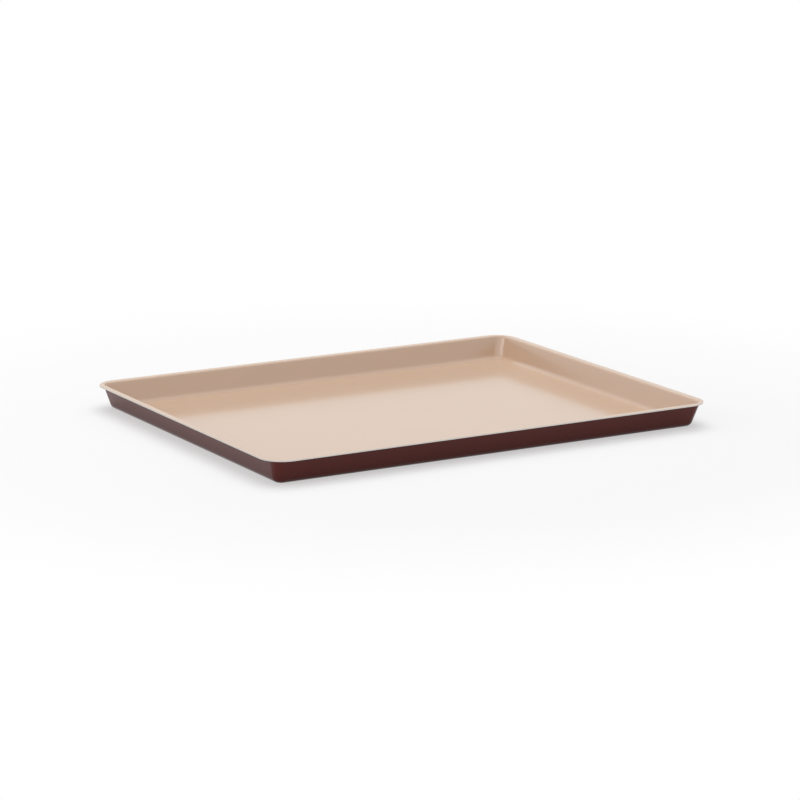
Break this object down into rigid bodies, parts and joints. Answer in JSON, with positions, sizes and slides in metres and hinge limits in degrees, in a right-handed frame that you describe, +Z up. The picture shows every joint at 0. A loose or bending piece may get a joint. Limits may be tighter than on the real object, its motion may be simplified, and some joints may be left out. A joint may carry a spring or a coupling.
{
  "type": "cookie sheet",
  "caption": "Shallow rectangular baking sheet with sloping walls, rounded corners and a narrow flat rim flange.",
  "frame": {"origin": "middle of the base, on the surface that the sheet stands on", "axes": "+X along the long sides, +Y across to a long side, +Z up, out of the open side"},
  "size_m": [0.368, 0.292, 0.0186],
  "materials": {
    "inside_coat": "satin",
    "sheet_steel": "satin",
    "outside_coat": "satin"
  },
  "bodies": {
    "root": {"inside_nonstick_coat": "inside_coat", "steel_pressing": "sheet_steel", "outside_coat": "outside_coat"}
  },
  "joints": []
}
